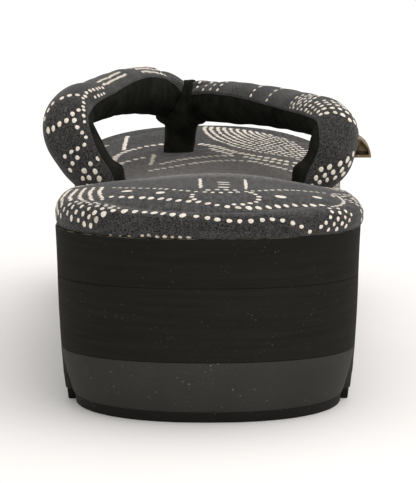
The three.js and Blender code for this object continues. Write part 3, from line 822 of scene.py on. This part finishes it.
# Cover and lining are columns of one closed roll. The cover's hem is a low ridge that drops into the seam,
# and the lining lies a little deeper than the cover.
def makeStrap():
    n, c, m = strap["along"], strap["coverColumns"], strap["liningColumns"]
    s = np.linspace(0, strapEnd, n)[:, None]
    low, high = coverEdges(s)
    t = np.linspace(0, 1, c)[None]
    cover = low + (high - low) * t
    r = np.linspace(0, 1, m + 2)[None, 1:-1]
    lining = high + (low + 2 * np.pi - high) * r
    fold = np.minimum(t, 1 - t) * np.degrees(high - low)
    ridge = np.exp(-((fold - strap["ridgeAt"]) / strap["ridgeSpan"]) ** 2) * strap["ridgeShare"]
    hemFold = strap["seam"] * (ridge - np.exp(-(fold / strap["coverSeam"]) ** 2))
    back = np.minimum(r, 1 - r) * strap["liningArc"]
    sunk = -strap["liningSunk"] * (1 - np.exp(-(back / strap["sinkSpan"]) ** 2))
    sunk = sunk - strap["seam"] * np.exp(-(back / strap["liningSeam"]) ** 2) * strap["liningShare"]
    angle = np.concatenate([cover, lining], 1)
    out = np.concatenate([hemFold + 0 * cover, sunk + 0 * lining], 1)
    grid = strapPoint(s + 0 * angle, angle, out)
    uv = np.stack([s + 0 * angle, angle * strap["meanRadius"]], -1)
    first, last = grid[:1].mean(1, keepdims=True), grid[-1:].mean(1, keepdims=True)
    width = grid.shape[1]
    grid = np.concatenate([np.repeat(first, width, 1), grid, np.repeat(last, width, 1)])
    uv = np.concatenate([uv[:1], uv, uv[-1:]])
    made = meshObject("strap_roll", grid[:, ::-1], gridFaces(n + 2, width))
    clothMap(made, uv[:, ::-1])
    column = np.tile(np.arange(width), n + 1)
    isLining = (column < m) | (column == width - 1)
    made.data.polygons.foreach_set("material_index", isLining.astype(np.int32))
    weld(made)
    finishPiece(made, "dotted_cotton", [cottonStrap, velvetMaterial], "strap", pad=0.95)


makeStrap()
print("strap made")

# Toe post: a soft black column up to a loop round the middle of the strap
post = dict(
    z=[44.0, 53.0, 58.0, 61.0, 63.4, 64.8, 66.4, 69.0],
    x=[-10.0, -10.0, -9.7, -9.4, -9.2, -9.0, -8.8, -8.6],
    y=[200.0, 200.0, 199.8, 199.4, 198.8, 198.4, 198.0, 197.6],
    wide=[4.9, 5.2, 5.3, 5.5, 6.0, 8.2, 9.2, 8.0],
    deep=[3.5, 3.8, 4.2, 4.8, 5.2, 5.6, 5.8, 5.4],
    squareness=2.7, levels=70, sides=48, lumps=0.02, flutes=0.015,
    loopTop=2.8, loopUnder=7.0, loopShift=-1.4, loopLift=0.1, loopThick=0.8, loopSteps=72, loopSides=20,
)


# Column: superellipse sections by height, with a soft unevenness
def makeToePost():
    p = post
    z = np.linspace(p["z"][0], p["z"][-1], p["levels"])[:, None]
    angle = np.linspace(0, 2 * np.pi, p["sides"], endpoint=False)[None]
    power = 2 / p["squareness"]
    bent = lambda v: np.sign(v) * np.abs(v) ** power
    size = lambda key: follow(p["z"], p[key], z)
    soft = 1 + p["lumps"] * np.sin(z * 0.9 + 3 * angle) + p["flutes"] * np.cos(5 * angle + z * 0.3)
    x = size("x") + size("wide") * soft * bent(np.cos(angle))
    y = size("y") + size("deep") * soft * bent(np.sin(angle))
    column = np.stack([x, y, z + 0 * x], -1)
    first, last = column[:1].mean(1, keepdims=True), column[-1:].mean(1, keepdims=True)
    column = np.concatenate([np.repeat(first, p["sides"], 1), column, np.repeat(last, p["sides"], 1)])
    columnFaces = gridFaces(len(column), p["sides"])[:, ::-1]
    # Loop: a flat oval section carried once round the strap, narrow on top and wider below
    turn = np.linspace(-np.pi, np.pi, p["loopSteps"], endpoint=False)[:, None]
    section = np.linspace(0, 2 * np.pi, p["loopSides"], endpoint=False)[None]
    half = p["loopTop"] + (p["loopUnder"] - p["loopTop"]) * np.sin(turn / 2) ** 2
    along = apex + p["loopShift"] + half * bent(np.cos(section))
    swell = bent(np.sin(section))
    out = p["loopLift"] + p["loopThick"] * (0.7 * swell + 0.3 * np.abs(swell))
    ring = strapPoint(along, turn + 0 * section, out + 0 * turn)
    ringFaces = gridFaces(*ring.shape[:2], closeAlong=True)[:, ::-1] + column.shape[0] * column.shape[1]
    points = np.concatenate([column.reshape(-1, 3), ring.reshape(-1, 3)])
    made = meshObject("toe_post_loop", points, np.concatenate([columnFaces, ringFaces]))
    weld(made)
    finishPiece(made, "black_velvet", [velvetMaterial], "toe_post", pad=0.9)


makeToePost()

# Brass tab: a thin plate bent in a quarter round above a flat foot, open at the back and closed in front
tab = dict(
    x=45.2, y=104.5, z=66.2, reach=7.3, rise=7.3, depth=8.0, plate=0.9, tail=3.0,
    edge=0.00018, crease=40.0, arcSteps=24,
)


def makeTab():
    t = tab
    a = np.linspace(0, np.pi / 2, t["arcSteps"])

    def outline(shrink, y):
        high = t["z"] + shrink + (t["rise"] - 2 * shrink) * np.sin(a)
        arc = np.stack([t["x"] + (t["reach"] - shrink) * np.cos(a), np.full(len(a), y), high], -1)
        left = t["x"] - t["tail"] + shrink
        foot = [(left, y, t["z"] + t["rise"] - shrink), (left, y, t["z"] + shrink)]
        return np.concatenate([arc, foot])

    back, front = t["y"], t["y"] + t["depth"]
    plate = t["plate"]
    walls = [outline(0.0, front), outline(0.0, back), outline(plate, back), outline(plate, front - plate)]
    ends = [np.repeat(wall.mean(0, keepdims=True), len(wall), 0) for wall in (walls[0], walls[-1])]
    grid = np.stack([ends[0], *walls, ends[1]])
    made = meshObject("brass_tab_plate", grid, gridFaces(*grid.shape[:2]))
    weld(made)
    soft = made.modifiers.new("roundedEdges", "BEVEL")
    soft.width = t["edge"]
    soft.segments = 2
    soft.angle_limit = np.radians(t["crease"])
    made.data.set_sharp_from_angle(angle=np.radians(t["crease"]))
    finishPiece(made, "aged_brass", [brassMaterial], "brass_tab")


makeTab()
print("post and tab made")


# Print: each dot is a thin closed lens of ink laid on the cloth by a chart from two lengths to a place.
# A lens is its middle, a ring near its edge, the edge sunk in the cloth, and the middle underneath.
film = dict(
    sides=12, ring=0.84, middleLift=0.07, ringLift=0.06, sunk=-0.06, wobble=(0.07, 0.05), step=0.04,
    dotGap=0.15, edgeGap=0.5,
)


def printFilm(name, chart, dots, flip=1.0):
    sides, step = film["sides"], film["step"]
    u, v, ru, rv, turn, worn = dots.T[:, :, None]
    a = np.linspace(0, 2 * np.pi, sides, endpoint=False)[None]
    share = np.concatenate([[0.0], np.full(sides, film["ring"]), np.ones(sides), [0.0]])[None]
    way = np.concatenate([np.zeros((1, 1)), a, a, np.zeros((1, 1))], 1)
    lift = np.repeat([film["middleLift"], film["ringLift"], film["sunk"]], [1, sides, sides + 1])
    wobbleTwo, wobbleThree = film["wobble"]
    wobble = 1 + wobbleTwo * np.sin(2 * way + 7.1 * u) + wobbleThree * np.sin(3 * way + 3.3 * v)
    cx, cy = ru * share * np.cos(way) * wobble, rv * share * np.sin(way) * wobble
    atU = u + cx * np.cos(turn) - cy * np.sin(turn)
    atV = v + cx * np.sin(turn) + cy * np.cos(turn)
    alongU = chart(atU + step, atV) - chart(atU - step, atV)
    alongV = chart(atU, atV + step) - chart(atU, atV - step)
    normal = np.cross(alongU, alongV) * flip
    normal /= np.linalg.norm(normal, axis=-1, keepdims=True) + 1e-12
    points = chart(atU, atV) + normal * lift[None, :, None]
    k = np.arange(sides)
    nxt = (k + 1) % sides
    top = np.stack([np.zeros(sides, int), 1 + k, 1 + nxt], -1)
    wallA = np.stack([1 + k, 1 + sides + k, 1 + sides + nxt], -1)
    wallB = np.stack([1 + k, 1 + sides + nxt, 1 + nxt], -1)
    low = np.stack([np.full(sides, 1 + 2 * sides), 1 + sides + nxt, 1 + sides + k], -1)
    pattern = np.concatenate([top, wallA, wallB, low])
    if flip < 0:
        pattern = pattern[:, ::-1]
    size = 2 * sides + 2
    faces = (pattern[None] + (np.arange(len(dots)) * size)[:, None, None]).reshape(-1, 3)
    made = meshObject(name, points, faces)
    wornBy = made.data.attributes.new("worn", "FLOAT", "POINT")
    wornBy.data.foreach_set("value", np.repeat(dots[:, 5], size).astype(np.float32))
    finishPiece(made, "dotted_cotton", [inkMaterial])
    print(name, len(dots), "dots")


# Dots of one size along a line through given points, turned to follow it
def dottedLine(points, pitch, size, squash=0.8, worn=0.0):
    points = np.asarray(points, float)
    length = np.concatenate([[0], np.cumsum(np.linalg.norm(np.diff(points, axis=0), axis=1))])
    at = np.arange(pitch / 2, length[-1], pitch)
    u, v = (np.interp(at, length, points[:, k]) for k in (0, 1))
    heading = np.gradient(points, axis=0)
    turn = np.interp(at, length, np.unwrap(np.arctan2(heading[:, 1], heading[:, 0])))
    full = np.full(len(at), float(size))
    return np.stack([u, v, full, full * squash, turn, np.full(len(at), float(worn))], -1)


# Several lines of dots alike
def dottedRows(lines, *look):
    return [dottedLine(line, *look) for line in lines]


# Wave: a level line that swings as a cosine
def waveLine(start, end, level, swing, period, shift):
    u = np.linspace(start, end, 200)
    return np.stack([u, level + swing * np.cos(2 * np.pi * (u - shift) / period)], -1)


# Arc about a centre, angles in degrees
def arcLine(cu, cv, radius, start, end, stretch=1.0):
    a = np.radians(np.linspace(start, end, 120))
    return np.stack([cu + radius * stretch * np.cos(a), cv + radius * np.sin(a)], -1)


# Arcs about one centre
def fan(cu, cv, radii, start, end, pitch, size, stretch=1.0):
    return dottedRows([arcLine(cu, cv, radius, start, end, stretch) for radius in radii], pitch, size)


# One dot by itself
def oval(u, v, ru, rv):
    return np.array([[u, v, ru, rv, 0.0, 0.0]])


# A later motif gives way: its dots are dropped where they would touch an earlier motif or dots already laid
def settle(motifs, chart, laid=None):
    dots = np.concatenate(motifs)
    order = np.repeat(np.arange(len(motifs)), [len(motif) for motif in motifs])
    place, reach = chart(dots[:, 0], dots[:, 1]), dots[:, 2:4].max(1)

    def touching(others, otherReach):
        apart = (place ** 2).sum(1)[:, None] + (others ** 2).sum(1)[None] - 2 * place @ others.T
        return apart < (reach[:, None] + otherReach[None] + film["dotGap"]) ** 2

    hidden = np.any(touching(place, reach) & (order[None] < order[:, None]), axis=1)
    if laid is not None:
        hidden |= np.any(touching(laid[0], laid[1]), axis=1)
    return dots[~hidden], (place[~hidden], reach[~hidden])


# Dots that lie on the strap's cover, clear of its edges
def onCover(dots):
    low, high = coverEdges(dots[:, 0])
    margin = (dots[:, 2] + film["edgeGap"]) / strap["meanRadius"]
    angle = dots[:, 1] / strap["meanRadius"]
    return dots[(angle > low + margin) & (angle < high - margin)]


# Dots that lie on the flat of the pad
def onPad(dots):
    x, y = dots[:, 0], dots[:, 1]
    margin = rollInset[-1]
    wide = np.where(x > 0, halfWidth("outer", y), halfWidth("inner", y)) - margin
    return dots[(np.abs(x) < wide) & (y > margin) & (y < sole["length"] - margin)]


# A little unevenness of hand stencilling: places, sizes and worn spots
stencil = dict(wander=0.12, sizes=0.07, wornMean=-0.1, wornSpread=0.25, wornMost=0.7)


def handmade(dots):
    n = len(dots)
    dots[:, :2] += rng.normal(0, stencil["wander"], (n, 2))
    dots[:, 2:4] *= 1 + rng.normal(0, stencil["sizes"], (n, 1))
    worn = rng.normal(stencil["wornMean"], stencil["wornSpread"], n)
    dots[:, 5] = np.clip(dots[:, 5] + np.clip(worn, 0, stencil["wornMost"]), 0, 1)
    return dots


# Round the rim and up the roll: a wave at the heel, rows that climb its corners, fans and rows at the sides.
# Places are millimetres round the rim from the heel's middle, and up the cloth from the hem.
heelRim = np.stack([
    (-41, -38.5, -36, -33, -30, -25, -21, -16, -6, 0, 6, 12, 17, 23, 28, 31.5, 34),
    (1.5, 3.4, 5.4, 7.4, 8.6, 9.6, 10.2, 9.8, 8.0, 6.8, 5.8, 5.8, 6.2, 5.5, 3.6, 1.7, 1.0),
], -1)
edgePrint = [
    dottedLine(heelRim[:5], 3.1, 1.0, 0.85),
    dottedLine(heelRim[4:9], 3.35, 1.1, 1.5),
    dottedLine(heelRim[8:], 3.35, 0.98, 0.78),
    dottedLine(waveLine(-22.5, -5.5, 0.7, 0.15, 20, 0), 2.4, 0.7, 0.8, 0.75),
    dottedLine(waveLine(-34, -23.5, 0.5, 0.1, 20, 0), 3.4, 0.5, 0.6, 0.85),
]
cornerRows = [
    [(34.5, 2), (38, 4), (40, 5.6), (42.5, 7.5), (44, 10)],
    [(38, 1), (41.5, 3), (44, 5), (46, 7), (48, 9.5)],
    [(42, 0.8), (45.5, 3), (48.5, 5.5), (51, 8.5)],
    [(47, 1), (50, 3.5), (53, 6.5)],
    [(46.5, 11.2), (50, 10.4), (58, 11.2), (68, 12.5), (80, 14)],
    [(-30.5, 11), (-35, 8.8), (-39.5, 5.6), (-43.5, 2)],
    [(-34, 12.5), (-38.5, 9.8), (-42.5, 6.4), (-46.5, 2.6)],
    [(-38, 13), (-42, 10.4), (-46, 7), (-50, 3)],
    [(-43, 12.4), (-46.5, 10), (-50, 7), (-54, 3)],
    [(-48.5, 11.5), (-51, 9.6), (-54.5, 6.5), (-58.5, 3)],
]
edgePrint += dottedRows(cornerRows, 2.7, 0.86, 0.85)
barStarts = ((-58, 6.6), (-56, 8.9), (-54, 11.3), (-52, 14), (-50, 16.8), (-48, 19.6))
barBend = np.array([(0, -3.2), (-7, -1.4), (-16, -0.2), (-34, 0.6)])
edgePrint += dottedRows([barBend + start for start in barStarts], 2.2, 1.0, 0.72)
for side in (-1, 1):
    edgePrint += fan(side * 78, -1.0, np.arange(3.5, 18, 3.3), 12, 168, 2.75, 0.86)
for side in (-1, 1):
    for centre in (112, 150, 188, 232):
        edgePrint += fan(side * centre, 0.0, (4.0, 7.4, 10.8, 14.2), 10, 170, 2.7, 0.85)
    for centre in (131, 169, 210):
        at = side * centre
        edgePrint.append(dottedLine(waveLine(at - 6, at + 6, 11.2, 0.8, 26, at), 2.9, 0.85))
        edgePrint.append(oval(at, 6.5, 0.9, 2.0))
toeMid = outlineLength[-1]
for side in (-1, 1):
    for level, swing in ((4.4, 0.8), (8.0, 1.0)):
        toeWave = waveLine(side * 256, side * (toeMid - 2), level, swing, 40, level)
        edgePrint.append(dottedLine(toeWave, 3.0, 0.9))
rimDots, rimLaid = settle(edgePrint, edgeChart)
printFilm("footbed_rim_print", edgeChart, handmade(rimDots))

# On the top, by x and by y from the heel: waves across the heel, a ring with bars and a ladder of ovals
heelRow = np.linspace(-35, 36, 90)
heelWave = follow([-36, -20, -6, 5.5, 14, 22, 37], [30, 24.0, 16.0, 10.5, 12.5, 17.5, 26.5], heelRow)
fineWave = follow([-36, -20, -5, 6, 20, 37], [53, 39.5, 28, 27, 37, 52], heelRow)
topPrint = [
    dottedLine(np.stack([heelRow, heelWave], -1), 3.3, 1.0, 1.3),
    dottedLine(np.stack([heelRow, fineWave], -1), 2.7, 0.75, 1.0),
    dottedLine(arcLine(4.5, 22, 9.5, 0, 359, 1.08), 2.8, 0.9, 1.0),
]
topPrint += [oval(x, y, 1.8, 1.7) for x, y in ((-25.4, 35.5), (-15.5, 29), (21.5, 26.5), (32.7, 34))]
topPrint += dottedRows([[(x, 34), (x, 62)] for x in (-3, 11)], 2.0, 1.15, 0.5)
topPrint += [oval(4, y, 2.2, size) for y, size in ((37, 1.25), (46, 0.8), (52, 0.8))]
topPrint += dottedRows([waveLine(-25, 25, level, 3.0, 40, 0) for level in (104, 112)], 2.8, 0.85)
topPrint += [oval(x, 108, 0.8, 1.7) for x in (-18, -9, 0, 9, 18)]
# Under the strap: rows that sweep across, bars, and a long fan towards the outer toes
sweeps = [
    [(-10, 217), (-16.5, 216), (-22.7, 214.6), (-27.9, 210.6), (-31.5, 205), (-33.6, 190)],
    [(-21.2, 191.5), (-24.3, 190.6), (-29.5, 188), (-32.6, 180)],
    [(-16.5, 173), (-10.3, 178.8), (-4.1, 183.4), (3.1, 187.8), (8.3, 190)],
    [(-20.7, 160.7), (-11.4, 165.5), (1.5, 175.6), (8.3, 179.4), (15.5, 179.6), (21.2, 174), (28.9, 169)],
    [(-3.1, 212), (3.1, 206), (8.8, 197.7), (16, 192), (23.8, 188), (34, 187)],
    [(0.5, 203), (8.5, 191.5), (16, 186), (23.8, 182), (34, 180)],
]
toeBars = [[(-29.5, 209), (-28.5, 249)], [(-19.6, 174), (-18.6, 194)]]
topPrint += dottedRows(sweeps, 2.6, 0.98, 1.75)
topPrint += dottedRows(toeBars, 1.6, 1.1, 0.8)
topPrint += fan(26, 244, np.arange(6, 46, 3.9), 165, 305, 2.3, 0.98, 0.6)
topPrint += fan(34, 206, (3.5, 7.0, 10.5), 60, 300, 2.3, 0.9, 0.8)
topPrint += [oval(x, y, 2.2, 0.9) for x, y in ((-38, 205), (-38, 217), (-37, 229))]
topDots = settle([onPad(motif) for motif in topPrint], topChart, rimLaid)[0]
printFilm("footbed_top_print", topChart, handmade(topDots))

# On the strap, by length from the outer hole and round from the middle of the print: the outer leg and arm
outerBend, innerBend = rowLength(3.0), rowLength(17.0)
footRows = [[(at - 4, -4), (at + 8, 8)] for at in (13.4, 10.7, 8.0)]
bendRows = [[(at + 3, -10.5), (at, 2), (at + 1, 8)] for at in outerBend + np.arange(0.5, 12, 2.4)]
crossRows = [[(at, -12), (at + 1.5, 10)] for at in apex - np.array([59.0, 47.0, 24.0, 19.0, 13.5, 8.0])]
strapPrint = dottedRows(footRows, 3.2, 0.86, 1.0)
strapPrint += dottedRows(bendRows, 2.4, 0.85, 0.8)
strapPrint += fan(outerBend + 21.5, -7, (1.6, 4.0, 6.4), 0, 359, 2.2, 0.8)
strapPrint += dottedRows(crossRows, 2.6, 0.85, 0.8)
strapPrint += fan(outerBend + 37, 1.5, (2.6, 5.2, 7.8), 10, 170, 2.4, 0.8)
# The inner arm: a block of rows by the post, a worn double bar and a wave
blockRows = [[(apex + 14, v), (apex + 37, v + 1.0)] for v in np.arange(-9.2, 10, 2.2)]
doubleBar = [[(apex + 51, v), (apex + 77, v + 0.6)] for v in (-7.2, -5.0)]
strapPrint += dottedRows(blockRows, 2.5, 0.9, 0.8)
strapPrint += dottedRows(doubleBar, 1.3, 0.95, 0.6, 0.4)
strapPrint.append(dottedLine(waveLine(apex + 42, innerBend - 20, 5.5, 1.4, 24, 0), 2.7, 0.85))
# The inner leg's rows and single dots, by length from its bend
legRows = [
    [(-1, 7.5), (-4.5, 4), (-6.2, 0), (-8.8, -5.2)],
    [(-8, -6), (-11, -5), (-17, -6.6), (-24, -7.6)],
    [(1.2, 6.5), (2.2, 2.5), (1.6, -2), (-0.3, -4.6), (-3, -6.6), (-4, -8.6)],
    [(-10.5, -3.6), (-7.4, -5.4), (-4.8, -6.4)],
    [(-12, -8.2), (-18, -9.4), (-24, -10)],
    [(1, -4.2), (3.7, -3.6), (7.4, -5.2), (12.5, -7.2)],
    [(-2.5, -7.2), (5.2, -6.9)],
    [(10.3, 4), (10.4, 0), (11.4, -3), (10.5, -6)],
    [(14, 5.5), (13.2, 1), (12.8, -1)],
]
legDots = [(17, -2.8), (17, -5.6), (17.2, 0.4), (19.6, -2.3), (19.6, 0.6), (18.5, 3), (22, -2.2), (21, 3.5)]
strapPrint += dottedRows([np.array(row) + (innerBend, 0) for row in legRows], 2.35, 0.74, 1.0)
strapPrint += [oval(innerBend + at, v, 0.9, 0.9) for at, v in legDots]
strapDots = settle([onCover(motif) for motif in strapPrint], strapChart)[0]
printFilm("strap_print", strapChart, handmade(strapDots), flip=-1.0)

# Stage: a pale floor, a wide soft light overhead, a fill from behind the camera, and the photo's viewpoint
stage = dict(
    floor=8.0, near=(0.86, 0.835, 0.815, 1), far=(0.9, 0.895, 0.888, 1),
    sky=(1.0, 0.995, 0.985, 1), skyPower=0.7,
)
lights = dict(
    overhead=dict(place=(0.6, 0.3, 1.5), aim=(0.1, 0, 0), size=(2.6, 2.4), power=26),
    fill=dict(place=(0.4, -2.0, 0.9), aim=(0, 0, 0.05), size=(2.0, 1.2), power=11),
)
camera = dict(place=(-0.0068, -1.3359, 0.2675), aim=(-0.0004, -0.035, 0.0395), lens=304.0, sensor=36.0)


def makeFloor():
    half = stage["floor"] / 2
    corners = [(-half, -half, 0), (half, -half, 0), (half, half, 0), (-half, half, 0)]
    mesh = bpy.data.meshes.new("floor")
    mesh.from_pydata(corners, [], [(0, 1, 2, 3)])
    floor = bpy.data.objects.new("floor", mesh)
    scene.collection.objects.link(floor)
    made, tree, shader = material("paleFloor", Roughness=0.85, Specular_IOR_Level=0.15)
    place = objectPlace(tree)
    away = math(tree, "MULTIPLY_ADD", noise(tree, place, 1.5, 2.0), 0.4, axis(tree, place, 1))
    feed(tree, shader["Base Color"], mixColour(tree, ramp(tree, away, 0.2, 1.0), stage["near"], stage["far"]))
    floor.data.materials.append(made)


# Light or camera put in its place and turned to its aim
def aimed(name, data, place, aim):
    thing = bpy.data.objects.new(name, data)
    thing.location = place
    thing.rotation_euler = (Vector(aim) - Vector(place)).to_track_quat("-Z", "Y").to_euler()
    scene.collection.objects.link(thing)
    return thing


def makeLights():
    for name, given in lights.items():
        light = bpy.data.lights.new(name, "AREA")
        light.shape = "RECTANGLE"
        light.size, light.size_y = given["size"]
        light.energy = given["power"]
        aimed(name, light, given["place"], given["aim"])
    sky = bpy.data.worlds.new("studio")
    sky.use_nodes = True
    background = sky.node_tree.nodes["Background"].inputs
    background["Color"].default_value = stage["sky"]
    background["Strength"].default_value = stage["skyPower"]
    scene.world = sky
    scene.view_settings.view_transform = "Standard"


def makeCamera():
    eye = bpy.data.cameras.new("camera")
    eye.lens = camera["lens"]
    eye.sensor_width = camera["sensor"]
    scene.camera = aimed("camera", eye, camera["place"], camera["aim"])


makeFloor()
makeLights()
makeCamera()
print("stage made")
